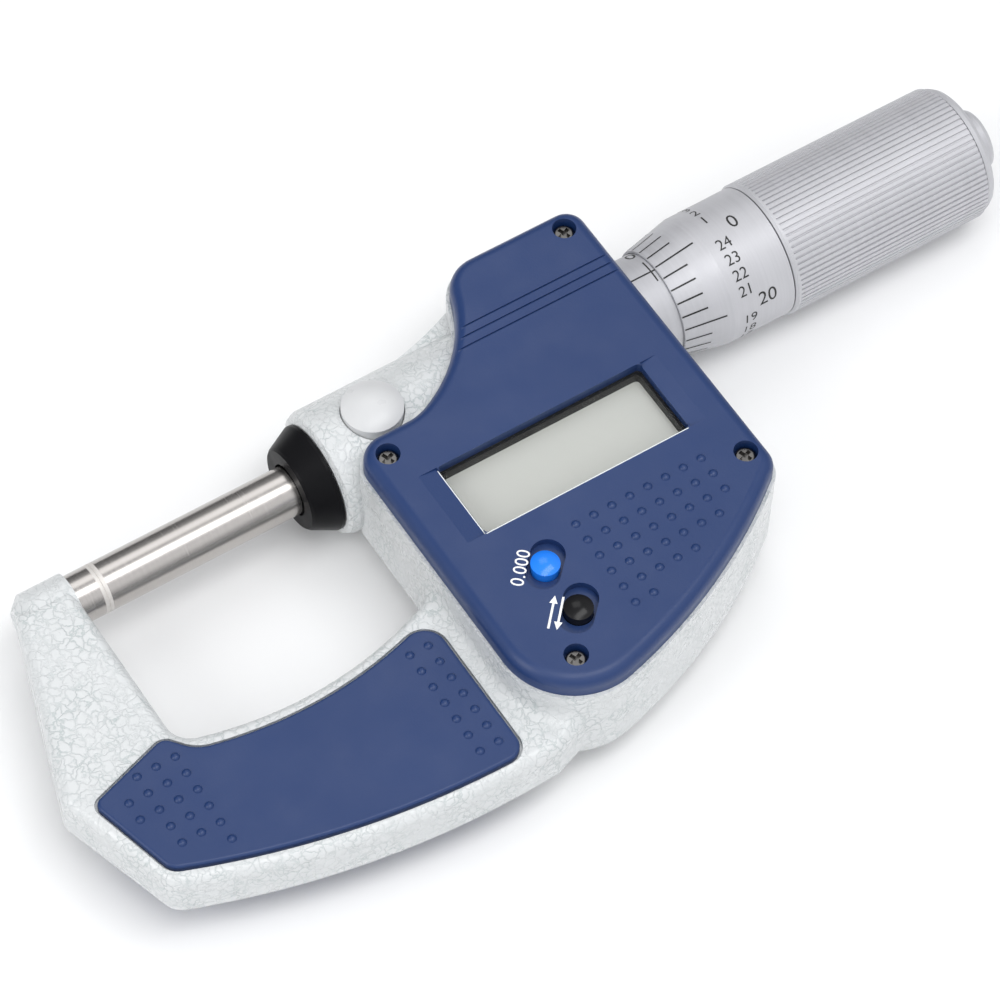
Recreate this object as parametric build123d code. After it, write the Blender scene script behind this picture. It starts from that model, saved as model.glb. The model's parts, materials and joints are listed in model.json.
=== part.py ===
from build123d import *

import os
from math import cos, radians, sin

# Digital outside micrometer, 0 to 25.4 mm. Millimetres throughout.
# The origin is on the spindle axis, where the two measuring faces meet. +X runs along the
# spindle away from the anvil, +Z is the display side, and the C of the frame hangs towards -Y.

# ---------------------------------------------------------------- driving dimensions
SPINDLE_R = 3.175
RUNNING = 0.02              # radial clearance of a running fit
LOOSE = 0.06                # radial clearance of a button, ring or sleeve that turns by hand

# C-shaped frame
FRAME_HALF = 3.7            # half the thickness of the bow
ARM_WALL_X = -3.5           # wall of the anvil arm that faces the spindle
ARM_BACK_X = -10.9          # outer end of the anvil arm at the axis
THROAT_X = 32.2             # wall of the display body that faces the anvil
THROAT_FOOT_Y = -20.0       # the display body's foot is blended onto the bow below this line
BODY_BACK_Z = -5.5          # back of the display body
PARTING_Z = 8.0             # plane where the cover meets the frame
BODY_END_X = 75.1           # end of the display body where the sleeve comes out
HUB_R = 8.2
HUB_FACE_X = 30.5
BORE_R = 5.0                # bore for the front bush
LOCK_BORE_R = 6.0
PLUG_X = 38.4
PLUG_R = 3.83
PLUG_SEAT_Z = 6.9
CHAMBER_R = 7.0             # encoder chamber
CHAMBER_X0 = 52.5
CHAMBER_X1 = 67.5
POCKET_FLOOR_Z = -3.8
POCKET_WALL = 2.2
POCKET_TOP_Y = -9.2

# display cover
COVER_TOP_Z = 11.0
COVER_SKIN = 1.4
COVER_ROUND = 1.6
WINDOW = (39.45, -23.6, 68.35, -12.7)      # x0, y0, x1, y1
WINDOW_SINK = 0.6
RAMP_DEPTH = 0.32           # dip of the cover's face towards each end of the window
GROOVE_YS = (0.25, 1.6, 2.9)
COVER_SCREWS = ((71.6, 8.9), (35.6, -8.0), (72.0, -30.0), (39.3, -43.1))
BUTTON_XY = ((43.0, -30.85), (43.0, -37.95))
BUTTON_R = 1.78
SLOT_R = 2.12
SLOT_HALF_LENGTH = 1.40
BUTTON_ANGLE = 45
SLOT_FLOOR_Z = 10.0
BUTTON_TOP_Z = 11.75

# raised grip pips, in square grids on the cover and the plates
PIP_R = 0.56
PIP_RISE = 0.34
PIP_STEP = 2.54
COVER_PIPS = (49.1, -28.05, 1, (8, 8, 8, 7, 5, 2))      # first x, first y, direction, pips in each row
PLATE_RIGHT_PIPS = (25.2, -29.6, 1, (2,) * 7)
PLATE_LEFT_PIPS = (-5.05, -26.95, -1, (3, 4, 4, 3, 3, 1))

# insulating plates
PLATE_THICK = 1.1
PLATE_PROUD = 0.5
PLATE_GAP = 0.36

# electronics
BOARD_Z = 5.4
BOARD_THICK = 1.0
BOARD_TOP_Z = BOARD_Z + BOARD_THICK
BOARD_SCREWS = ((37.4, -27.5), (69.3, -26.5), (53.5, -40.0))
LCD_TOP_Z = 8.2
BATTERY_XY = (59.5, -31.0)
BATTERY_R = 5.8
BATTERY_HIGH = 5.4
CAP_R = 6.5

# spindle, sleeve and thimble
KEYWAY = (29.0, 63.0)
THREAD_X0 = 70.0
THREAD_R = 3.5
NUT_X0 = 97.0
SLEEVE_END_X = 112.0
INNER_SLEEVE_R = 5.6
OUTER_SLEEVE_R = 6.9
NUT_SEAT_X = 107.8
THIMBLE_X = 79.4
THIMBLE_STEP_X = 94.8
THIMBLE_WALL_X = 112.6
THIMBLE_REAR_X = 118.5
THIMBLE_REAR_R = 8.0
BARREL_X0 = 95.0
BARREL_X1 = 124.4
BARREL_R = 9.0
RIB_COUNT = 72
RIB_DEPTH = 0.24


# ---------------------------------------------------------------- helpers
def turned(*profile):
    """Solid of revolution about the spindle axis from (x, radius) corners."""
    return revolve(make_face(Polyline(*profile, close=True)), Axis.X, 360)


def tube(x0, x1, outer, inner=0.0):
    """Plain ring or rod on the spindle axis."""
    return turned((x0, inner), (x0, outer), (x1, outer), (x1, inner))


def outline(start, *steps):
    """Closed face. A step that is a point is a straight run, a pair of points is an arc."""
    edges = []
    here = start
    for step in steps:
        if isinstance(step[0], tuple):
            via, end = step
            edges.append(ThreePointArc(here, via, end))
        else:
            end = step
            edges.append(Line(here, end))
        here = end
    if here != start:
        edges.append(Line(here, start))
    return make_face(edges)


def rounded(face, *corners):
    """Round the corners of a face, each given as x, y and radius."""
    for x, y, radius in corners:
        nearest = face.vertices().sort_by_distance((x, y, 0))[0]
        face = fillet(nearest, radius)
    return face


def slab(face, z0, z1):
    """A flat outline made solid between two heights."""
    return Pos(0, 0, z0) * extrude(face, z1 - z0)


def block(x0, x1, y0, y1, z0, z1):
    return Pos((x0 + x1) / 2, (y0 + y1) / 2, (z0 + z1) / 2) * Box(x1 - x0, y1 - y0, z1 - z0)


def post(xy, radius, z0, z1):
    return Pos(xy[0], xy[1], z0) * Cylinder(radius, z1 - z0, align=(Align.CENTER, Align.CENTER, Align.MIN))


def obround(xy, radius, half_length, z0, z1):
    """Upright prism with round ends, lying at the buttons' angle."""
    flat = SlotCenterToCenter(2 * half_length, 2 * radius)
    return slab(Pos(xy[0], xy[1]) * Rot(0, 0, BUTTON_ANGLE) * flat, z0, z1)


def level_edges(solid, z):
    """Edges that lie wholly in the plane at height z."""
    return [e for e in solid.edges() if all(abs((e @ t).Z - z) < 1e-4 for t in (0, 0.3, 0.6, 1))]


def sector(x0, x1, outer, inner, start, stop):
    """Part of a ring about the spindle axis; angles run from +Y towards +Z."""
    reach = outer * 1.5
    wedge_corners = [(0, 0)]
    for step in range(7):
        angle = radians(start + (stop - start) * step / 6)
        wedge_corners.append((reach * cos(angle), reach * sin(angle)))
    wedge = extrude(Plane.YZ * make_face(Polyline(*wedge_corners, close=True)), x1 - x0)
    return tube(x0, x1, outer, inner) & (Pos(x0, 0, 0) * wedge)


def pips(grid, z):
    """Rows of low domes standing on a flat face at height z."""
    first_x, first_y, direction, counts = grid
    ball_r = (PIP_R ** 2 + PIP_RISE ** 2) / (2 * PIP_RISE)
    dome = (Pos(0, 0, PIP_RISE - ball_r) * Sphere(ball_r)) & post((0, 0), 1.0, -0.2, 1.0)
    domes = []
    for row, count in enumerate(counts):
        for column in range(count):
            x = first_x + direction * PIP_STEP * column
            domes.append(Pos(x, first_y - PIP_STEP * row, z) * dome)
    return domes


# ---------------------------------------------------------------- outlines
def bow_outline():
    """The C of the frame, from the anvil arm round to the foot of the display body."""
    face = outline(
        (ARM_WALL_X, 0.0),
        (ARM_BACK_X, 0.0),
        (-18.9, -24.8),
        (-13.7, -41.0),
        ((10.0, -47.6), (34.0, -48.9)),
        (42.0, -46.0),
        (42.0, -20.0),
        (THROAT_X, -16.0),
        (THROAT_X, -23.0),
        ((13.0, -27.3), (ARM_WALL_X, -24.6)),
    )
    return rounded(face, (-18.9, -24.8, 2.2), (-13.7, -41.0, 3.0), (THROAT_X, -23.0, 4.0),
                   (ARM_WALL_X, -24.6, 3.2))


def display_outline():
    """Outline of the display cover, with the curve that passes round the plug."""
    face = outline(
        (32.6, -4.7),
        (32.6, -49.15),
        ((54.5, -44.2), (74.7, -32.57)),
        (74.7, 11.7),
        (55.7, 11.7),
        ((50.5, 1.2), (41.5, -4.7)),
    )
    return rounded(face, (32.6, -4.7, 3.6), (32.6, -49.15, 9.5), (74.7, -32.57, 3.0), (74.7, 11.7, 2.6),
                   (55.7, 11.7, 5.0), (41.5, -4.7, 8.0))


def plate_outline():
    """Insulating plate, a margin inside the bow."""
    face = outline(
        (-5.0, -23.9),
        (-16.2, -27.4),
        (-12.9, -39.3),
        ((7.5, -45.45), (29.9, -47.6)),
        (29.9, -26.0),
        ((13.5, -29.2), (-2.4, -27.2)),
    )
    return rounded(face, (-5.0, -23.9, 1.6), (-16.2, -27.4, 1.2), (-12.9, -39.3, 2.4),
                   (29.9, -47.6, 2.2), (29.9, -26.0, 2.8), (-2.4, -27.2, 5.0))


def below(face, y):
    """The part of a face that lies below a line of constant y."""
    return face & (Pos(50, y - 50) * Rectangle(200, 100))


# ---------------------------------------------------------------- frame
def make_frame():
    bow = slab(bow_outline(), -FRAME_HALF, FRAME_HALF)
    bow = fillet(level_edges(bow, FRAME_HALF) + level_edges(bow, -FRAME_HALF), 1.3)
    tip = turned((ARM_BACK_X + 0.3, 0), (ARM_BACK_X + 0.3, 2.2), (ARM_BACK_X + 1.8, FRAME_HALF),
                 (ARM_WALL_X, FRAME_HALF), (ARM_WALL_X, 0))
    hub = turned((HUB_FACE_X, 0), (HUB_FACE_X, HUB_R - 1.2), (HUB_FACE_X + 0.35, HUB_R - 0.35),
                 (HUB_FACE_X + 1.2, HUB_R), (BODY_END_X, HUB_R), (BODY_END_X, 0))
    body = slab(offset(display_outline(), 0.4), BODY_BACK_Z, PARTING_Z)
    body = fillet(level_edges(body, BODY_BACK_Z), 2.0)
    shoulder = slab(outline((44.0, 0.0), (46.0, 6.8), ((51.0, 8.1), (57.0, 10.5)), (62.0, 10.5), (62.0, 0.0)),
                    BODY_BACK_Z + 1.0, 4.6)
    joined = bow + body
    foot = []
    for z in (-FRAME_HALF, FRAME_HALF):
        foot += [e for e in level_edges(joined, z) if e.center().X > 31 and e.center().Y < THROAT_FOOT_Y]
    solid = fillet(foot, 1.5) + tip + hub + shoulder
    solid -= slab(display_outline(), PARTING_Z, COVER_TOP_Z)

    # seats for the insulating plates, front and back
    seat = offset(plate_outline(), PLATE_GAP)
    depth = PLATE_THICK - PLATE_PROUD
    solid -= slab(seat, FRAME_HALF - depth, FRAME_HALF + 1)
    solid -= slab(seat, -FRAME_HALF - 1, -FRAME_HALF + depth)

    # bores on the spindle axis
    solid -= tube(-9.0, ARM_WALL_X, SPINDLE_R)
    solid -= tube(HUB_FACE_X, 35.5, LOCK_BORE_R)
    solid -= tube(35.5, CHAMBER_X0, BORE_R)
    solid -= tube(CHAMBER_X0, CHAMBER_X1, CHAMBER_R)
    solid -= tube(CHAMBER_X1, BODY_END_X, INNER_SLEEVE_R)

    # pocket for the electronics and the opening over the encoder
    inside = offset(display_outline(), -POCKET_WALL)
    pocket = slab(below(inside, POCKET_TOP_Y), POCKET_FLOOR_Z, PARTING_Z)
    for xy in COVER_SCREWS[2:]:
        pocket -= post(xy, 2.6, POCKET_FLOOR_Z, PARTING_Z)
    for xy in BOARD_SCREWS:
        pocket -= post(xy, 1.5, POCKET_FLOOR_Z, BOARD_Z)
    solid -= pocket
    solid -= block(CHAMBER_X0 + 2.0, CHAMBER_X1 - 0.1, POCKET_TOP_Y - 0.5, 4.0, 1.5, PARTING_Z)

    # holes for screws, plug and battery cap, and the groove for the gasket
    for xy in COVER_SCREWS:
        solid -= post(xy, 0.8, 2.6, PARTING_Z)
    for xy in BOARD_SCREWS:
        solid -= post(xy, 0.7, 2.4, BOARD_Z)
    solid -= post((PLUG_X, 0), PLUG_R + 0.12, PLUG_SEAT_Z, HUB_R + 1)
    solid -= post((PLUG_X, 0), 2.5, 5.6, HUB_R)
    solid -= post(BATTERY_XY, CAP_R + 0.1, BODY_BACK_Z - 1, POCKET_FLOOR_Z)
    solid -= slab(gasket_face(), PARTING_Z - 0.4, PARTING_Z)
    return solid


def gasket_face():
    return offset(display_outline(), -0.6) - offset(display_outline(), -1.2)


def make_plate(top):
    """Insulating plate with softened edges on its outer face."""
    plate = slab(plate_outline(), FRAME_HALF + PLATE_PROUD - PLATE_THICK, FRAME_HALF + PLATE_PROUD)
    plate = fillet(level_edges(plate, FRAME_HALF + PLATE_PROUD), 0.4)
    plate += pips(PLATE_RIGHT_PIPS, FRAME_HALF + PLATE_PROUD)
    plate += pips(PLATE_LEFT_PIPS, FRAME_HALF + PLATE_PROUD)
    if top:
        return plate
    return mirror(plate, Plane.XY)


# ---------------------------------------------------------------- anvil and lock
def make_anvil():
    return tube(-9.0, -0.5, SPINDLE_R)


def make_tip(side):
    """Carbide measuring face, with a fine chamfer at its rim; side is -1 or 1."""
    return turned((0, 0), (0, SPINDLE_R - 0.08), (side * 0.08, SPINDLE_R), (side * 0.5, SPINDLE_R),
                  (side * 0.5, 0))


def make_lock_ring():
    ring = turned((26.7, 3.45), (26.7, 5.25), (27.0, 5.55), (29.6, 6.85), (29.9, 7.0), (30.3, 7.0),
                  (30.3, LOCK_BORE_R - LOOSE), (34.3, LOCK_BORE_R - LOOSE), (34.3, 4.6), (29.4, 4.6),
                  (29.4, 3.45))
    return ring - sector(31.0, 34.3, 5.4, 4.5, 225, 290)


def make_lock_collet():
    """Split clamping sleeve, held in the frame by its flange."""
    collet = turned((29.6, SPINDLE_R + 0.03), (29.6, 4.5), (34.5, 4.5), (34.5, LOCK_BORE_R),
                    (35.5, LOCK_BORE_R), (35.5, SPINDLE_R + 0.03))
    return collet - block(29.0, 34.5, 0, 5, -0.3, 0.3)


def make_lock_roller():
    angle = radians(283)
    return Pos(31.2, 4.95 * cos(angle), 4.95 * sin(angle)) * Rot(0, 90, 0) * Cylinder(
        0.35, 2.7, align=(Align.CENTER, Align.CENTER, Align.MIN))


def make_plug():
    """Domed plug that closes the unused hole in the hub."""
    rise = 1.2
    rim_z = 8.9
    ball_r = (PLUG_R ** 2 + rise ** 2) / (2 * rise)
    ball = Pos(0, 0, rim_z + rise - ball_r) * Sphere(ball_r)
    dome = ball & post((0, 0), PLUG_R, rim_z, rim_z + rise + 1)
    body = post((0, 0), PLUG_R, PLUG_SEAT_Z, rim_z) + post((0, 0), 2.5, 5.6, PLUG_SEAT_Z)
    return Pos(PLUG_X, 0, 0) * (dome + body)


# ---------------------------------------------------------------- display cover and electronics
def window_face(margin):
    x0, y0, x1, y1 = WINDOW
    flat = Pos((x0 + x1) / 2, (y0 + y1) / 2) * Rectangle(x1 - x0 + 2 * margin, y1 - y0 + 2 * margin)
    return fillet(flat.vertices(), 0.6)


def make_cover():
    cover = slab(display_outline(), PARTING_Z, COVER_TOP_Z)
    cover = fillet(level_edges(cover, COVER_TOP_Z), COVER_ROUND)
    hollow = slab(offset(display_outline(), -1.9), PARTING_Z, COVER_TOP_Z - COVER_SKIN)
    for xy in COVER_SCREWS:
        hollow -= post(xy, 2.6, PARTING_Z, COVER_TOP_Z)
    cover -= hollow
    for xy in COVER_SCREWS:
        cover -= post(xy, 1.5, 9.2, COVER_TOP_Z)
        cover -= post(xy, 0.9, PARTING_Z, 9.2)

    # window with a sunken ramp at each end
    x0, y0, x1, y1 = WINDOW
    cover -= slab(window_face(0), PARTING_Z, COVER_TOP_Z)
    deep = COVER_TOP_Z - RAMP_DEPTH
    for edge_x, start_x in ((x0, 36.9), (x1, 70.6)):
        ramp = make_face(Polyline((start_x, COVER_TOP_Z), (edge_x, deep), (edge_x, COVER_TOP_Z), close=True))
        cover -= Pos(0, y1, 0) * extrude(Plane.XZ * ramp, y1 - y0)

    for y in GROOVE_YS:
        cover -= block(50.0, 76.0, y - 0.12, y + 0.12, COVER_TOP_Z - 0.22, COVER_TOP_Z)

    cover += pips(COVER_PIPS, COVER_TOP_Z)

    # sunken slots for the two buttons
    for xy in BUTTON_XY:
        cover -= obround(xy, SLOT_R, SLOT_HALF_LENGTH, SLOT_FLOOR_Z, COVER_TOP_Z)
        cover -= post(xy, BUTTON_R + LOOSE, PARTING_Z, SLOT_FLOOR_Z)
    return cover


def make_button(xy):
    """Round button with a low dome, and a flange that keeps it under the cover."""
    dome_r = 3.2
    dome = Pos(xy[0], xy[1], BUTTON_TOP_Z - dome_r) * Sphere(dome_r)
    button = post(xy, BUTTON_R, 7.9, BUTTON_TOP_Z) & (dome + post(xy, BUTTON_R, 7.9, BUTTON_TOP_Z - dome_r))
    return button + post(xy, 2.3, 8.5, 9.4)


def make_switches():
    return [post(xy, 1.7, BOARD_TOP_Z, 7.3) for xy in BUTTON_XY]


def make_cover_screws():
    """Four small pan-head screws with cross recesses."""
    screws = []
    for xy in COVER_SCREWS:
        head = post(xy, 1.28, 9.2, 10.0)
        head = fillet(level_edges(head, 10.0), 0.3)
        screw = head + post(xy, 0.8, 2.6, 9.2)
        for turn in (20, 110):
            screw -= Pos(xy[0], xy[1], 9.8) * Rot(0, 0, turn) * Box(1.7, 0.5, 0.6)
        screws.append(screw)
    return screws


def make_lcd_window():
    return slab(window_face(-0.03), COVER_TOP_Z - COVER_SKIN, COVER_TOP_Z - WINDOW_SINK - 0.02)


def make_lcd_holder():
    holder = slab(window_face(0.9), BOARD_TOP_Z, COVER_TOP_Z - COVER_SKIN)
    return holder - slab(window_face(-0.45), BOARD_TOP_Z, COVER_TOP_Z)


def make_lcd_panel():
    return slab(window_face(-0.45), LCD_TOP_Z - 1.0, LCD_TOP_Z)


def make_contact_strips():
    """Two conductive rubber strips between the board and the display glass."""
    x0, y0, x1, y1 = WINDOW
    strips = []
    for y in (y0 + 1.6, y1 - 1.6):
        strips.append(block(x0 + 1.4, x1 - 1.4, y - 0.5, y + 0.5, BOARD_TOP_Z, LCD_TOP_Z - 1.0))
    return strips


def make_board():
    inside = offset(display_outline(), -POCKET_WALL - 0.4)
    board = slab(below(inside, POCKET_TOP_Y - 0.4), BOARD_Z, BOARD_TOP_Z)
    for xy in COVER_SCREWS[2:]:
        board -= post(xy, 3.0, BOARD_Z, BOARD_TOP_Z)
    for xy in BOARD_SCREWS:
        board -= post(xy, 0.8, BOARD_Z, BOARD_TOP_Z)
    for y in pin_ys():
        board -= post((55.5, y), 0.25, BOARD_Z, BOARD_TOP_Z)
    return board


def make_board_screws():
    screws = []
    for xy in BOARD_SCREWS:
        screw = post(xy, 1.3, BOARD_TOP_Z, BOARD_TOP_Z + 0.8) + post(xy, 0.7, 2.4, BOARD_TOP_Z)
        screws.append(screw - (Pos(xy[0], xy[1], BOARD_TOP_Z + 0.7) * Box(3, 0.4, 0.5)))
    return screws


def make_battery():
    """Button cell with its smaller negative face towards the board."""
    can = post(BATTERY_XY, BATTERY_R, -3.6, -3.6 + BATTERY_HIGH - 0.6)
    can = fillet(level_edges(can, -3.6), 0.5)
    return can + post(BATTERY_XY, BATTERY_R - 0.8, 1.2, -3.6 + BATTERY_HIGH)


def make_battery_holder():
    ring = post(BATTERY_XY, BATTERY_R + 1.5, POCKET_FLOOR_Z, 1.2) - post(BATTERY_XY, BATTERY_R + 0.1, -4, 2)
    slot = Pos(BATTERY_XY[0], BATTERY_XY[1] + BATTERY_R + 0.8, 0) * Box(2.2, 2.4, 10)
    return ring - slot


def make_battery_contacts():
    """A leaf that presses on the top of the cell and a tab that touches its side."""
    x, y = BATTERY_XY
    top = -3.6 + BATTERY_HIGH
    leaf = block(x - 1, x + 1, y - 3, y + 4, top, top + 0.2) + block(x - 1, x + 1, y - 3.2, y - 3, top, BOARD_Z)
    side = block(x - 1, x + 1, y + BATTERY_R, y + BATTERY_R + 0.2, -3.2, BOARD_Z)
    return [leaf, side]


def make_battery_cap():
    cap = post(BATTERY_XY, CAP_R, BODY_BACK_Z, -3.85)
    cap = fillet(level_edges(cap, BODY_BACK_Z), 0.3)
    cap += post(BATTERY_XY, 4.0, -3.85, -3.62)
    x, y = BATTERY_XY
    cap -= Pos(x, y, BODY_BACK_Z) * Box(9.0, 1.6, 1.2)
    return cap - (Pos(x, y, -4.7) * Torus(CAP_R - 0.2, 0.3))


def make_battery_cap_seal():
    return Pos(BATTERY_XY[0], BATTERY_XY[1], -4.7) * Torus(CAP_R - 0.2, 0.27)


# ---------------------------------------------------------------- encoder
def pin_ys():
    return [-10.4 - 0.8 * step for step in range(4)]


def make_stator_holder():
    return tube(CHAMBER_X0, 55.0, CHAMBER_R, 5.1)


def make_stator():
    """Ring board with a tongue that reaches out under the circuit board."""
    ring = tube(55.0, 56.0, CHAMBER_R - 0.05, 5.1)
    tongue = block(55.0, 56.0, -13.2, -5.2, 2.0, 4.6) - tube(54.0, 57.0, 5.5)
    return ring + tongue


def make_stator_pins():
    """Stiff wires from the tongue of the ring board up through the circuit board."""
    return [block(55.35, 55.65, y - 0.15, y + 0.15, 4.6, BOARD_TOP_Z) for y in pin_ys()]


def make_rotor():
    return tube(56.2, 57.2, 6.5, 4.4)


def make_rotor_bush():
    bush = turned((52.55, SPINDLE_R + RUNNING), (52.55, 4.4), (57.2, 4.4), (57.2, 5.2), (58.2, 5.2),
                  (58.2, 4.4), (62.0, 4.4), (62.0, SPINDLE_R + RUNNING))
    return bush - (Pos(60, 0, -4.4) * Cylinder(0.35, 4, align=(Align.CENTER, Align.CENTER, Align.MIN)))


def make_rotor_key():
    key = post((60, 0), 0.35, -4.4, -2.75)
    return key & tube(55, 65, 4.4)


def make_thrust_washer():
    return tube(62.05, 62.5, 5.2, 3.4)


def make_rotor_spring():
    """Light coil spring that holds the rotor against the front bush."""
    wire = 0.25
    path = Helix(pitch=1.5, height=4.5, radius=4.6, center=(62.5 + wire, 0, 0), direction=(1, 0, 0))
    section = Plane(origin=path @ 0, z_dir=path % 0) * Circle(wire)
    return sweep(section, path)


# ---------------------------------------------------------------- spindle, sleeves and thimble
def make_front_bush():
    return tube(36.5, CHAMBER_X0, BORE_R, SPINDLE_R + RUNNING)


def make_wiper():
    return tube(35.5, 36.5, BORE_R, SPINDLE_R + 0.03)


def make_spindle():
    spindle = turned((0.5, 0), (0.5, SPINDLE_R), (68.0, SPINDLE_R), (68.4, 2.9), (69.6, 2.9),
                     (THREAD_X0, THREAD_R), (110.6, THREAD_R), (111.0, 3.0), (THIMBLE_WALL_X, 3.0),
                     (118.0, 2.4), (118.0, 0))
    spindle -= block(KEYWAY[0], KEYWAY[1], -0.4, 0.4, -4, -2.6)
    return spindle - tube(112.5, 118.0, 1.4)


def make_inner_sleeve():
    """Sleeve pressed into the frame; its slotted rear end is the spindle nut."""
    sleeve = turned((CHAMBER_X1, 3.9), (CHAMBER_X1, INNER_SLEEVE_R), (NUT_SEAT_X, INNER_SLEEVE_R),
                    (NUT_SEAT_X, 5.0), (SLEEVE_END_X, 4.9), (SLEEVE_END_X, THREAD_R + 0.03),
                    (NUT_X0, THREAD_R + 0.03), (NUT_X0, 3.9))
    for turn in (0, 120, 240):
        sleeve -= Rot(turn, 0, 0) * block(104.0, 113.0, 0, 6, -0.3, 0.3)
    return sleeve


def make_outer_sleeve():
    return turned((BODY_END_X, INNER_SLEEVE_R), (BODY_END_X, OUTER_SLEEVE_R), (107.0, OUTER_SLEEVE_R),
                  (107.3, OUTER_SLEEVE_R - 0.3), (107.3, INNER_SLEEVE_R))


def make_adjusting_nut():
    nut = turned((NUT_SEAT_X + 0.2, 4.995), (NUT_SEAT_X + 0.2, 6.4), (111.8, 6.4), (111.8, 4.905))
    for turn in (60, 180, 300):
        nut -= Rot(turn, 0, 0) * block(110.8, 112, 4.5, 7, -0.7, 0.7)
    return nut


def make_thimble():
    """Graduated thimble: a fine front lip, a cone, a straight part and a rear hub."""
    bore = OUTER_SLEEVE_R + 0.08
    thimble = turned((THIMBLE_X, bore), (THIMBLE_X, 7.22), (THIMBLE_X + 0.05, 7.27), (86.0, 8.68),
                     (THIMBLE_STEP_X, 8.74), (THIMBLE_STEP_X, THIMBLE_REAR_R),
                     (THIMBLE_REAR_X, THIMBLE_REAR_R), (THIMBLE_REAR_X, 2.4), (118.0, 2.4),
                     (THIMBLE_WALL_X, 3.0), (THIMBLE_WALL_X, bore))
    return thimble - tube(115.0, 116.7, 9, 6.9)


def make_thimble_screw():
    screw = turned((112.5, 0), (112.5, 1.4), (118.0, 1.4), (THIMBLE_REAR_X, 1.4), (THIMBLE_REAR_X, 3.8),
                   (120.0, 3.8), (120.2, 3.6), (120.2, 0))
    return screw - block(119.4, 120.5, -4, 4, -0.5, 0.5)


def make_friction_spring():
    ring = tube(115.05, 116.65, THIMBLE_REAR_R + LOOSE - 0.03, 6.95)
    return ring - block(114, 117, 0, 9, -0.8, 0.8)


def make_friction_sleeve():
    """Barrel with straight ribs that run out at its rear end."""
    ribs_x = BARREL_X0 + 0.7
    plain = turned((BARREL_X0, THIMBLE_REAR_R + LOOSE), (BARREL_X0, 8.74), (BARREL_X0 + 0.35, BARREL_R),
                   (BARREL_X1 - 0.1, BARREL_R), (BARREL_X1, BARREL_R - 0.1),
                   (BARREL_X1, THIMBLE_REAR_R + LOOSE))
    pitch = 360 / RIB_COUNT
    valley = BARREL_R - RIB_DEPTH
    corners = []
    for rib in range(RIB_COUNT):
        for share, radius in ((-0.40, BARREL_R + 1), (-0.14, valley), (0.14, valley), (0.40, BARREL_R + 1)):
            angle = radians(pitch * (rib + share))
            corners.append((radius * cos(angle), radius * sin(angle)))
    star = make_face(Polyline(*corners, close=True))
    ribbed = extrude(Plane.YZ * star, BARREL_X1 + 1 - ribs_x)
    cutter = tube(ribs_x, BARREL_X1 + 1, BARREL_R + 2) - Pos(ribs_x, 0, 0) * ribbed
    return plain - cutter


def make_end_cap():
    """Rear disc with its small round knob, pushed into the barrel up to a fine groove."""
    seat_r = THIMBLE_REAR_R + LOOSE
    rim_x = BARREL_X1 + 0.2
    return turned((120.8, 6.2), (120.8, seat_r), (BARREL_X1, seat_r), (BARREL_X1, 8.3), (rim_x, 8.3),
                  (rim_x, 8.65), (125.2, 8.6), (125.7, 8.3), (126.0, 7.7), (126.0, 5.6), (126.3, 4.8),
                  (126.9, 4.3), (127.2, 4.2), (128.4, 4.2), (128.9, 3.95), (129.1, 3.4), (129.1, 0),
                  (121.6, 0), (121.6, 6.2))


# ---------------------------------------------------------------- export
def main():
    os.makedirs("parts", exist_ok=True)
    nodes = {
        "frame": make_frame(),
        "anvil": make_anvil(),
        "anvil_tip": make_tip(-1),
        "insulating_plate_front": make_plate(True),
        "insulating_plate_back": make_plate(False),
        "lock_ring": make_lock_ring(),
        "lock_collet": make_lock_collet(),
        "lock_roller": make_lock_roller(),
        "hub_plug": make_plug(),
        "front_cover": make_cover(),
        "cover_gasket": slab(gasket_face(), PARTING_Z - 0.4, PARTING_Z),
        "cover_screws": make_cover_screws(),
        "lcd_window": make_lcd_window(),
        "lcd_holder": make_lcd_holder(),
        "lcd_panel": make_lcd_panel(),
        "contact_strips": make_contact_strips(),
        "circuit_board": make_board(),
        "board_screws": make_board_screws(),
        "switches": make_switches(),
        "origin_button": make_button(BUTTON_XY[0]),
        "unit_button": make_button(BUTTON_XY[1]),
        "battery": make_battery(),
        "battery_holder": make_battery_holder(),
        "battery_contacts": make_battery_contacts(),
        "battery_cap": make_battery_cap(),
        "battery_cap_seal": make_battery_cap_seal(),
        "stator_holder": make_stator_holder(),
        "encoder_stator": make_stator(),
        "stator_pins": make_stator_pins(),
        "encoder_rotor": make_rotor(),
        "rotor_bush": make_rotor_bush(),
        "rotor_key": make_rotor_key(),
        "thrust_washer": make_thrust_washer(),
        "rotor_spring": make_rotor_spring(),
        "front_bush": make_front_bush(),
        "spindle_wiper": make_wiper(),
        "spindle": make_spindle(),
        "spindle_tip": make_tip(1),
        "inner_sleeve": make_inner_sleeve(),
        "outer_sleeve": make_outer_sleeve(),
        "adjusting_nut": make_adjusting_nut(),
        "thimble": make_thimble(),
        "thimble_screw": make_thimble_screw(),
        "friction_spring": make_friction_spring(),
        "friction_sleeve": make_friction_sleeve(),
        "end_cap": make_end_cap(),
    }
    for name, shape in nodes.items():
        if isinstance(shape, list):
            shape = Compound(children=shape)
        shape.label = name
        export_step(shape, f"parts/{name}.step")


main()
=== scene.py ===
import json
from math import cos, pi, radians, sin

import bmesh
import bpy
from mathutils import Matrix, Quaternion, Vector


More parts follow.
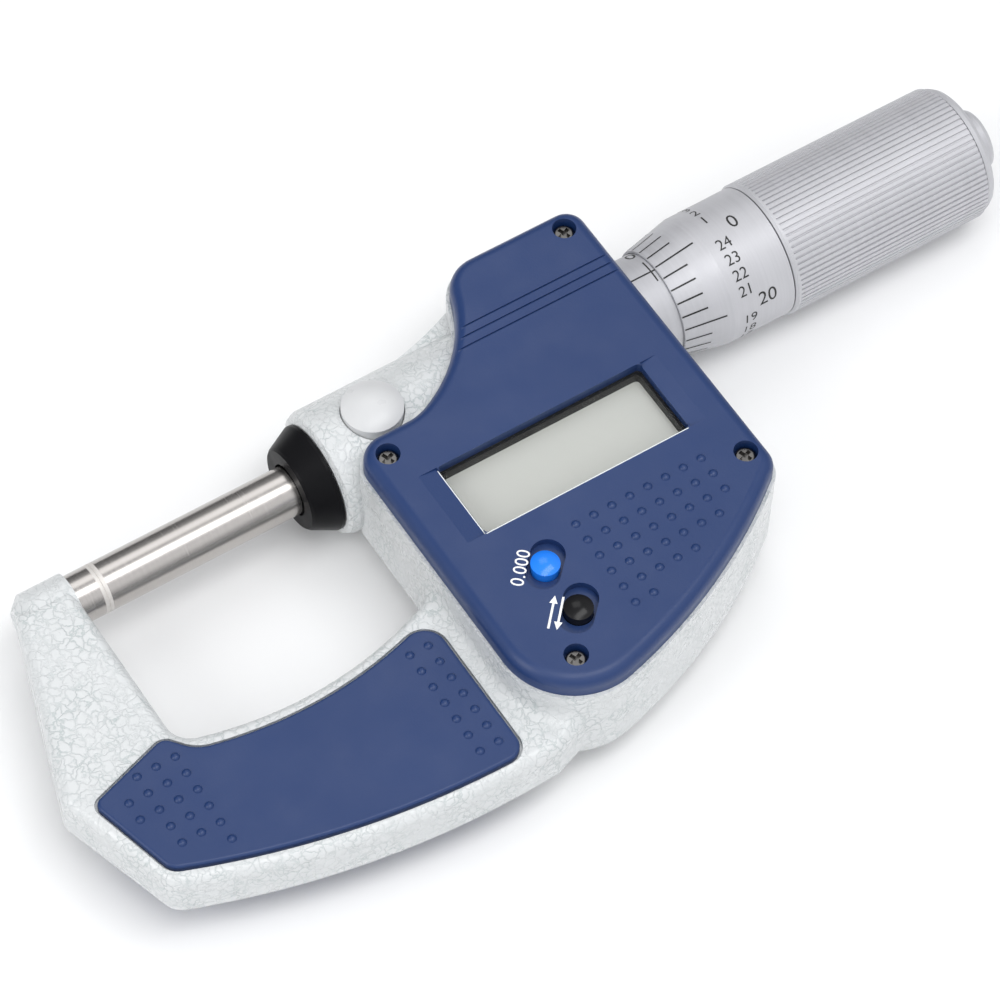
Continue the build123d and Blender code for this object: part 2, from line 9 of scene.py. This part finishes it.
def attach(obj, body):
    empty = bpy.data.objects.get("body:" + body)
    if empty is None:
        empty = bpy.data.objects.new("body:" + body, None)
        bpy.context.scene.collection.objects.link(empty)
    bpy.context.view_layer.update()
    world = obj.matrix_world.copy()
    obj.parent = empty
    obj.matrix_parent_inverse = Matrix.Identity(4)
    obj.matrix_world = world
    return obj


MM = 0.001
SLEEVE_R = 6.9
INDEX_ANGLE = 88.0          # degrees from +Y towards +Z
PITCH = 0.635
ZERO_TICK_X = 78.88
TURNS = 40                  # of the thimble, over the whole travel
TURNS_PER_NUMBER = 4
THIMBLE_EDGE_X = 79.4
THIMBLE_EDGE_R = 7.27
THIMBLE_CONE_X = 86.0       # rear end of the cone
THIMBLE_CONE_R = 8.68
THIMBLE_STEP_X = 94.8
THIMBLE_STEP_R = 8.74
THIMBLE_DIVISIONS = 25
INDEX_WIDTH = 0.22
TICK_WIDTH = 0.20
DIVISION_WIDTH = 0.21
NUMBER_HEIGHT = 1.9
SMALL_NUMBER_HEIGHT = 1.45
INK_LIFT = 0.012            # how far printed and engraved marks stand off their surface
COVER_TOP_Z = 11.0
WINDOW = (39.45, -23.6, 68.35, -12.7)      # x0, y0, x1, y1
RAMP_FOOT_Z = 10.68         # cover's face at the ends of the window
# width of the painted highlight strips along the display opening
WINDOW_HIGHLIGHT_WIDTH = 0.12
FLOOR_Z = -9.02             # just under the lowest point of the barrel
FLOOR_REACH = 3.0           # metres from the middle to each side

CAMERA_AT = (-0.13279, -0.27170, 0.47544)
CAMERA_TARGET = (0.04752, -0.01456, 0.0)
CAMERA_ROLL = 2.777
CAMERA_LENS = 170.08


# ---------------------------------------------------------------- shader helpers
class Shader:
    """One node material, with short calls for the nodes used here."""

    def __init__(self, name, color, roughness, metallic=0.0, **constants):
        self.material = bpy.data.materials.new(name)
        self.material.use_nodes = True
        self.tree = self.material.node_tree
        self.surface = self.tree.nodes["Principled BSDF"]
        self.set("Base Color", (*color, 1.0))
        self.set("Roughness", roughness)
        self.set("Metallic", metallic)
        for label, value in constants.items():
            self.set(label.replace("_", " "), value)

    def set(self, label, value):
        self.surface.inputs[label].default_value = value

    def add(self, kind, **settings):
        node = self.tree.nodes.new(kind)
        for label, value in settings.items():
            setattr(node, label, value)
        return node

    def wire(self, output, socket):
        self.tree.links.new(output, socket)

    def place(self, stretch=(1.0, 1.0, 1.0)):
        """Object coordinates, scaled on each axis."""
        coords = self.add("ShaderNodeTexCoord")
        mapping = self.add("ShaderNodeMapping")
        mapping.inputs["Scale"].default_value = stretch
        self.wire(coords.outputs["Object"], mapping.inputs["Vector"])
        return mapping.outputs["Vector"]

    def noise(self, scale, detail=3.0, vector=None, stretch=(1.0, 1.0, 1.0)):
        node = self.add("ShaderNodeTexNoise")
        node.inputs["Scale"].default_value = scale
        node.inputs["Detail"].default_value = detail
        self.wire(vector or self.place(stretch), node.inputs["Vector"])
        return node.outputs["Fac"]

    def ramp(self, value, low, high, start=0.0, stop=1.0):
        """Straight ramp of a value into the range start..stop, held at both ends."""
        node = self.add("ShaderNodeMapRange")
        for label, number in (("From Min", low), ("From Max", high), ("To Min", start), ("To Max", stop)):
            node.inputs[label].default_value = number
        self.wire(value, node.inputs["Value"])
        return node.outputs["Result"]

    def multiply(self, first, second):
        node = self.add("ShaderNodeMath", operation="MULTIPLY")
        self.wire(first, node.inputs[0])
        if isinstance(second, float):
            node.inputs[1].default_value = second
        else:
            self.wire(second, node.inputs[1])
        return node.outputs[0]

    def plus(self, first, second):
        node = self.add("ShaderNodeMath", operation="ADD")
        self.wire(first, node.inputs[0])
        self.wire(second, node.inputs[1])
        return node.outputs[0]

    def blend(self, factor, first, second):
        """Colour between two, by a factor."""
        node = self.add("ShaderNodeMix", data_type="RGBA")
        self.wire(factor, node.inputs[0])
        for socket, color in ((node.inputs[6], first), (node.inputs[7], second)):
            if isinstance(color, tuple):
                socket.default_value = (*color, 1.0)
            else:
                self.wire(color, socket)
        return node.outputs[2]

    def color(self, output):
        self.wire(output, self.surface.inputs["Base Color"])

    def roughness(self, output):
        self.wire(output, self.surface.inputs["Roughness"])

    def bump(self, height, distance, strength=1.0):
        node = self.add("ShaderNodeBump")
        node.inputs["Strength"].default_value = strength
        node.inputs["Distance"].default_value = distance * MM
        self.wire(height, node.inputs["Height"])
        self.wire(node.outputs["Normal"], self.surface.inputs["Normal"])


# ---------------------------------------------------------------- materials
def enamel():
    """Pale hammered enamel: small rounded islands parted by fine grey-green cracks."""
    s = Shader("enamel", (0.80, 0.83, 0.81), 0.3, Coat_Weight=0.25, Coat_Roughness=0.12)
    warp = s.add("ShaderNodeTexNoise")
    warp.inputs["Scale"].default_value = 750.0
    warp.inputs["Detail"].default_value = 4.0
    s.wire(s.place(), warp.inputs["Vector"])
    shift = s.add("ShaderNodeVectorMath", operation="SCALE")
    shift.inputs["Scale"].default_value = 2.3 * MM
    s.wire(warp.outputs["Color"], shift.inputs[0])
    moved = s.add("ShaderNodeVectorMath", operation="ADD")
    s.wire(s.place(), moved.inputs[0])
    s.wire(shift.outputs[0], moved.inputs[1])
    cells = s.add("ShaderNodeTexVoronoi", feature="DISTANCE_TO_EDGE")
    cells.inputs["Scale"].default_value = 860.0
    s.wire(moved.outputs[0], cells.inputs["Vector"])
    edge = cells.outputs["Distance"]
    crack = s.ramp(edge, 0.01, 0.09, 1.0, 0.0)
    patchy = s.ramp(s.noise(230.0), 0.40, 0.62, 0.05, 0.85)
    base = s.blend(s.noise(90.0, 4.0), (0.64, 0.66, 0.665), (0.70, 0.715, 0.72))
    s.color(s.blend(s.multiply(crack, patchy), base, (0.45, 0.50, 0.50)))
    s.roughness(s.ramp(s.noise(300.0), 0.3, 0.7, 0.22, 0.38))
    s.bump(s.plus(s.ramp(edge, 0.0, 0.16), s.multiply(s.noise(700.0), 0.5)), 0.05)
    return s.material


def navy_plastic():
    s = Shader("navy_plastic", (0.012, 0.041, 0.153), 0.4, Specular_IOR_Level=0.5)
    s.color(s.blend(s.noise(60.0, 4.0), (0.0088, 0.033, 0.127), (0.0130, 0.0405, 0.148)))
    s.roughness(s.ramp(s.noise(180.0, 5.0), 0.3, 0.7, 0.32, 0.46))
    s.bump(s.noise(3600.0, 2.0), 0.012)
    return s.material


def metal(name, color, roughness, streak, depth, metallic=1.0):
    """Bare metal with fine turning marks that run round the spindle axis."""
    s = Shader(name, color, roughness, metallic)
    turning = s.noise(1.0, 4.0, stretch=(streak, 60.0, 60.0))
    darker = tuple(0.94 * channel for channel in color)
    s.color(s.blend(s.ramp(turning, 0.35, 0.65), darker, color))
    uneven = s.plus(turning, s.multiply(s.noise(150.0), 0.4))
    s.roughness(s.ramp(uneven, 0.4, 1.0, roughness * 0.8, roughness * 1.25))
    s.bump(turning, depth)
    return s.material


def plain(name, color, roughness, grain=1500.0, depth=0.01, metallic=0.0, **constants):
    """Simple surface with faint mottling, wear in the gloss and a fine grain."""
    s = Shader(name, color, roughness, metallic, **constants)
    lighter = tuple(min(1.0, 1.18 * channel + 0.004) for channel in color)
    s.color(s.blend(s.noise(140.0, 4.0), color, lighter))
    s.roughness(s.ramp(s.noise(400.0, 4.0), 0.3, 0.7, roughness * 0.85, roughness * 1.15))
    s.bump(s.noise(grain, 2.0), depth)
    return s.material


def window_pane():
    s = Shader("clear_window", (0.03, 0.032, 0.03), 0.05, Specular_IOR_Level=0.6, Alpha=0.05)
    s.roughness(s.ramp(s.noise(120.0), 0.3, 0.7, 0.03, 0.08))
    s.bump(s.noise(300.0), 0.004)
    return s.material


def display_glass():
    """Blank grey-green liquid crystal panel."""
    s = Shader("lcd_glass", (0.50, 0.54, 0.49), 0.45)
    s.color(s.blend(s.noise(35.0), (0.60, 0.615, 0.575), (0.64, 0.65, 0.61)))
    s.roughness(s.ramp(s.noise(500.0), 0.3, 0.7, 0.4, 0.5))
    s.bump(s.noise(4000.0), 0.003)
    return s.material


def pale_floor():
    s = Shader("pale_floor", (0.93, 0.93, 0.93), 0.7)
    s.color(s.blend(s.noise(4.0), (0.92, 0.92, 0.92), (0.94, 0.94, 0.94)))
    return s.material


def make_materials():
    """One material for each slot in the record, and those of the marks, the painted highlight and the floor.
    """
    return {
        "enamel": enamel(),
        "navy_plastic": navy_plastic(),
        "ground_steel": metal("ground_steel", (0.51, 0.485, 0.465), 0.23, 5000.0, 0.001),
        "carbide": metal("carbide", (0.74, 0.71, 0.68), 0.55, 2400.0, 0.001, 0.4),
        "satin_chrome": metal("satin_chrome", (0.56, 0.56, 0.585), 0.50, 4000.0, 0.002, 0.35),
        "screw_steel": plain("screw_steel", (0.14, 0.135, 0.13), 0.28, metallic=1.0),
        "bronze": metal("bronze", (0.55, 0.36, 0.16), 0.28, 2400.0, 0.002),
        "grey_plastic": plain("grey_plastic", (0.60, 0.605, 0.61), 0.32, depth=0.004),
        "rubber": plain("rubber", (0.025, 0.025, 0.025), 0.6),
        "clear_window": window_pane(),
        "black_plastic": plain("black_plastic", (0.005, 0.005, 0.006), 0.4, Specular_IOR_Level=0.3),
        "lcd_glass": display_glass(),
        "board": plain("board", (0.02, 0.13, 0.06), 0.35),
        "cell_steel": plain("cell_steel", (0.6, 0.6, 0.6), 0.25, metallic=1.0),
        "brass": plain("brass", (0.66, 0.50, 0.24), 0.28, metallic=1.0),
        "felt": plain("felt", (0.10, 0.10, 0.10), 0.9, grain=2500.0, depth=0.08),
        "black_finish": plain("black_finish", (0.005, 0.005, 0.006), 0.34, depth=0.006,
                              Specular_IOR_Level=0.07),
        "blue_button": plain("blue_button", (0.005, 0.20, 0.90), 0.2, depth=0.002, Coat_Weight=0.1),
        "black_button": plain("black_button", (0.003, 0.003, 0.004), 0.22, depth=0.002,
                              Specular_IOR_Level=0.3),
        "ink": plain("ink", (0.012, 0.012, 0.012), 0.5),
        "white_ink": plain("white_ink", (0.85, 0.86, 0.86), 0.5),
        # painted highlight colour for the strips along the display opening's edges
        "painted_edge_highlight": plain("painted_edge_highlight", (0.74, 0.78, 0.80), 0.3),
        "pale_floor": pale_floor(),
    }


def dress_nodes(materials):
    """Give every CAD node the material its record slot names."""
    for part in frame["record"]["subparts"]:
        mesh = frame["nodes"][part["node"]].data
        mesh.materials.clear()
        mesh.materials.append(materials[part["material_slot"]])


# ---------------------------------------------------------------- marks, and a painted highlight
def thimble_radius(x):
    """Outer radius of the thimble: a cone, then nearly straight up to the barrel."""
    if x < THIMBLE_CONE_X:
        share = (x - THIMBLE_EDGE_X) / (THIMBLE_CONE_X - THIMBLE_EDGE_X)
        return THIMBLE_EDGE_R + share * (THIMBLE_CONE_R - THIMBLE_EDGE_R)
    share = (x - THIMBLE_CONE_X) / (THIMBLE_STEP_X - THIMBLE_CONE_X)
    return THIMBLE_CONE_R + share * (THIMBLE_STEP_R - THIMBLE_CONE_R)


def sleeve_radius(x):
    return SLEEVE_R


def wrapped(x, angle, radius_at):
    """Point on a turned surface, in metres, just clear of it."""
    r = radius_at(x) + INK_LIFT
    return (x * MM, r * cos(radians(angle)) * MM, r * sin(radians(angle)) * MM)


def as_piece(name, mesh, material, body):
    mesh.materials.append(material)
    piece = bpy.data.objects.new(name, mesh)
    bpy.context.scene.collection.objects.link(piece)
    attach(piece, body)
    return piece


class Marks:
    """Gathers thin marks on turned or flat surfaces into one mesh."""

    def __init__(self):
        self.points = []
        self.faces = []

    def patch(self, x0, x1, angle0, angle1, radius_at):
        """Curved rectangle between two stations and two angles."""
        across = 1 + int(abs(angle1 - angle0) / 2)
        along = 1 + int(abs(x1 - x0) / 3)
        first = len(self.points)
        for i in range(along + 1):
            for j in range(across + 1):
                x = x0 + (x1 - x0) * i / along
                angle = angle0 + (angle1 - angle0) * j / across
                self.points.append(wrapped(x, angle, radius_at))
        for i in range(along):
            for j in range(across):
                a = first + i * (across + 1) + j
                self.faces.append((a, a + across + 1, a + across + 2, a + 1))

    def line_along(self, x0, x1, angle, width, radius_at):
        half = width / 2 / radius_at(x0) * 180 / pi
        self.patch(x0, x1, angle + half, angle - half, radius_at)

    def line_round(self, x, angle0, angle1, width, radius_at):
        self.patch(x - width / 2, x + width / 2, angle1, angle0, radius_at)

    def glyphs(self, words, height, place):
        """Digits centred on the origin of a flat sheet, each point carried over by place(u, v)."""
        glyph_mesh = flat_text(words, height)
        first = len(self.points)
        self.points += [place(v.co.x, v.co.y) for v in glyph_mesh.vertices]
        self.faces += [tuple(first + i for i in face.vertices) for face in glyph_mesh.polygons]
        bpy.data.meshes.remove(glyph_mesh)

    def digits_round(self, words, height, x, angle, radius_at):
        """Digits that read along +X with their tops towards +Y."""
        def place(u, v):
            return wrapped(x + u, angle - v / radius_at(x) * 180 / pi, radius_at)
        self.glyphs(words, height, place)

    def mesh(self, name):
        mesh = bpy.data.meshes.new(name)
        mesh.from_pydata(self.points, [], self.faces)
        mesh.update()
        return mesh


def flat_text(words, height):
    """Mesh of a short text, centred, with digits of the given height, cut fine enough to wrap."""
    curve = bpy.data.curves.new("glyphs", "FONT")
    curve.body = words
    curve.size = height / 0.69
    curve.align_x = "CENTER"
    curve.align_y = "CENTER"
    curve.resolution_u = 4
    holder = bpy.data.objects.new("glyphs", curve)
    mesh = bpy.data.meshes.new_from_object(holder)
    bpy.data.objects.remove(holder)
    bpy.data.curves.remove(curve)
    bm = bmesh.new()
    bm.from_mesh(mesh)
    slices = 8
    for step in range(1, slices):
        level = height * (step / slices - 0.5)
        everything = bm.verts[:] + bm.edges[:] + bm.faces[:]
        bmesh.ops.bisect_plane(bm, geom=everything, plane_co=(0, level, 0), plane_no=(0, 1, 0))
    bm.to_mesh(mesh)
    bm.free()
    return mesh


def sleeve_marks(materials):
    """Index line, one tick for each turn, and a number for every fourth."""
    marks = Marks()
    marks.line_along(75.2, 107.0, INDEX_ANGLE, INDEX_WIDTH, sleeve_radius)
    for turn in range(TURNS + 1):
        x = ZERO_TICK_X + PITCH * turn
        numbered = turn % TURNS_PER_NUMBER == 0
        start = 72 if numbered else 78
        marks.line_round(x, start, 101, TICK_WIDTH, sleeve_radius)
        if numbered:
            number = str(turn // TURNS_PER_NUMBER)
            marks.digits_round(number, NUMBER_HEIGHT, x - 0.25, 51, sleeve_radius)
    mesh = marks.mesh("sleeve_graduations")
    as_piece("sleeve_graduations", mesh, materials["ink"], "frame")


def thimble_marks(materials):
    """Division lines and numbers round the front of the thimble."""
    marks = Marks()
    for division in range(THIMBLE_DIVISIONS):
        angle = INDEX_ANGLE - 360 / THIMBLE_DIVISIONS * division
        fifth = division % 5 == 0
        marks.line_along(79.5, 85.0 if fifth else 82.9, angle, DIVISION_WIDTH, thimble_radius)
        if fifth:
            marks.digits_round(str(division), NUMBER_HEIGHT, 90.9, angle, thimble_radius)
        else:
            marks.digits_round(str(division), SMALL_NUMBER_HEIGHT, 88.2, angle, thimble_radius)
    mesh = marks.mesh("thimble_graduations")
    as_piece("thimble_graduations", mesh, materials["ink"], "spindle")


def button_marks(materials):
    """White printed signs beside the buttons: a row of noughts, and arrows that swap."""
    marks = Marks()
    turn = Matrix.Rotation(radians(47), 2)

    def printer(centre):
        def place(u, v):
            spot = turn @ Vector((u, v))
            return ((centre[0] + spot.x) * MM, (centre[1] + spot.y) * MM, (COVER_TOP_Z + INK_LIFT) * MM)
        return place

    marks.glyphs("0.000", 1.6, printer((40.3, -29.8)))
    swap = printer((40.4, -37.1))
    for side in (-1, 1):
        first = len(marks.points)
        shaft = [(-2.3, 0.14), (1.2, 0.14), (1.2, 0.5), (2.3, 0.0), (1.2, -0.5), (1.2, -0.14), (-2.3, -0.14)]
        marks.points += [swap(side * u, side * v + side * 0.5) for u, v in shaft]
        marks.faces.append(tuple(reversed(range(first, first + len(shaft)))))
    as_piece("button_signs", marks.mesh("button_signs"), materials["white_ink"], "frame")


def window_edge_marks(materials):
    """Painted highlight: flat bright strips along the left and near sides of the display opening, standing
    in for light caught by the edge there.
    """
    x0, y0, x1, y1 = WINDOW
    width = WINDOW_HIGHLIGHT_WIDTH
    strips = (
        (x0 - width, y0 - width, x0, y1 - 0.3, RAMP_FOOT_Z),
        (x0, y0 - width, x1 - 0.3, y0, COVER_TOP_Z),
    )
    marks = Marks()
    for left, near, right, far, z in strips:
        first = len(marks.points)
        corners = ((left, near), (right, near), (right, far), (left, far))
        marks.points += [(x * MM, y * MM, (z + 2 * INK_LIFT) * MM) for x, y in corners]
        marks.faces.append(tuple(range(first, first + 4)))
    as_piece("window_painted_highlight", marks.mesh("window_painted_highlight"), materials["painted_edge_highlight"], "frame")


# ---------------------------------------------------------------- studio
def make_floor(materials):
    mesh = bpy.data.meshes.new("floor")
    reach = FLOOR_REACH
    corners = [(-reach, -reach), (reach, -reach), (reach, reach), (-reach, reach)]
    mesh.from_pydata([(x, y, FLOOR_Z * MM) for x, y in corners], [], [(0, 1, 2, 3)])
    mesh.materials.append(materials["pale_floor"])
    floor = bpy.data.objects.new("floor", mesh)
    bpy.context.scene.collection.objects.link(floor)


def aim(thing, at, target, roll=0.0):
    facing = (Vector(target) - Vector(at)).to_track_quat("-Z", "Y")
    thing.location = at
    thing.rotation_mode = "QUATERNION"
    thing.rotation_quaternion = facing @ Quaternion((0, 0, 1), radians(roll))


def soft_light(name, at, size, power, target=(0.05, -0.02, 0.0)):
    light = bpy.data.lights.new(name, "AREA")
    light.shape = "RECTANGLE"
    light.size, light.size_y = size
    light.energy = power
    lamp = bpy.data.objects.new(name, light)
    bpy.context.scene.collection.objects.link(lamp)
    aim(lamp, at, target)


def make_world():
    """Soft surround, brightest in front of the object, dim behind it and towards the horizon."""
    world = bpy.data.worlds.new("studio")
    world.use_nodes = True
    tree = world.node_tree
    coords = tree.nodes.new("ShaderNodeTexCoord")
    axes = tree.nodes.new("ShaderNodeSeparateXYZ")

    def ramp(low, high, start, stop):
        node = tree.nodes.new("ShaderNodeMapRange")
        for label, number in (("From Min", low), ("From Max", high), ("To Min", start), ("To Max", stop)):
            node.inputs[label].default_value = number
        return node

    front = ramp(-1.0, 1.0, 1.2, 0.28)
    height = ramp(0.0, 0.5, 0.3, 1.0)
    level = tree.nodes.new("ShaderNodeMath")
    level.operation = "MULTIPLY"
    background = tree.nodes["Background"]
    background.inputs["Color"].default_value = (0.97, 0.98, 1.0, 1.0)
    tree.links.new(coords.outputs["Generated"], axes.inputs[0])
    tree.links.new(axes.outputs["Y"], front.inputs["Value"])
    tree.links.new(axes.outputs["Z"], height.inputs["Value"])
    tree.links.new(front.outputs["Result"], level.inputs[0])
    tree.links.new(height.outputs["Result"], level.inputs[1])
    tree.links.new(level.outputs[0], background.inputs["Strength"])
    bpy.context.scene.world = world


def make_studio():
    soft_light("front_light", (0.10, -0.24, 0.82), (0.9, 0.34), 3.0)
    soft_light("left_light", (-0.80, 0.00, 0.50), (0.4, 0.6), 2.4)
    soft_light("back_light", (0.25, 0.50, 0.85), (0.5, 0.5), 1.0)
    make_world()
    bpy.context.scene.view_settings.view_transform = "Standard"


def make_camera():
    data = bpy.data.cameras.new("camera")
    data.lens = CAMERA_LENS
    data.sensor_width = 36.0
    data.clip_start = 0.01
    data.dof.use_dof = False
    camera = bpy.data.objects.new("camera", data)
    bpy.context.scene.collection.objects.link(camera)
    aim(camera, CAMERA_AT, CAMERA_TARGET, CAMERA_ROLL)
    bpy.context.scene.camera = camera


# ---------------------------------------------------------------- build
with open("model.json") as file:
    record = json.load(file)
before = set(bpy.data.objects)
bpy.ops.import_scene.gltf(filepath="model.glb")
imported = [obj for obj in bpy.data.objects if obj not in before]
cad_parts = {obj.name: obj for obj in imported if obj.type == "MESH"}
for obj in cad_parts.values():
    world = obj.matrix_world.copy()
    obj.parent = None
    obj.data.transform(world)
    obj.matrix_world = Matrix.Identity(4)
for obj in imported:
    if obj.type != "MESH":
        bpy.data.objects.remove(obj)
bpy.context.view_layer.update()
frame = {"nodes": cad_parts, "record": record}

materials = make_materials()
dress_nodes(materials)
sleeve_marks(materials)
thimble_marks(materials)
button_marks(materials)
# painted highlight along the left and near edges of the display opening
window_edge_marks(materials)
make_floor(materials)
make_studio()
make_camera()
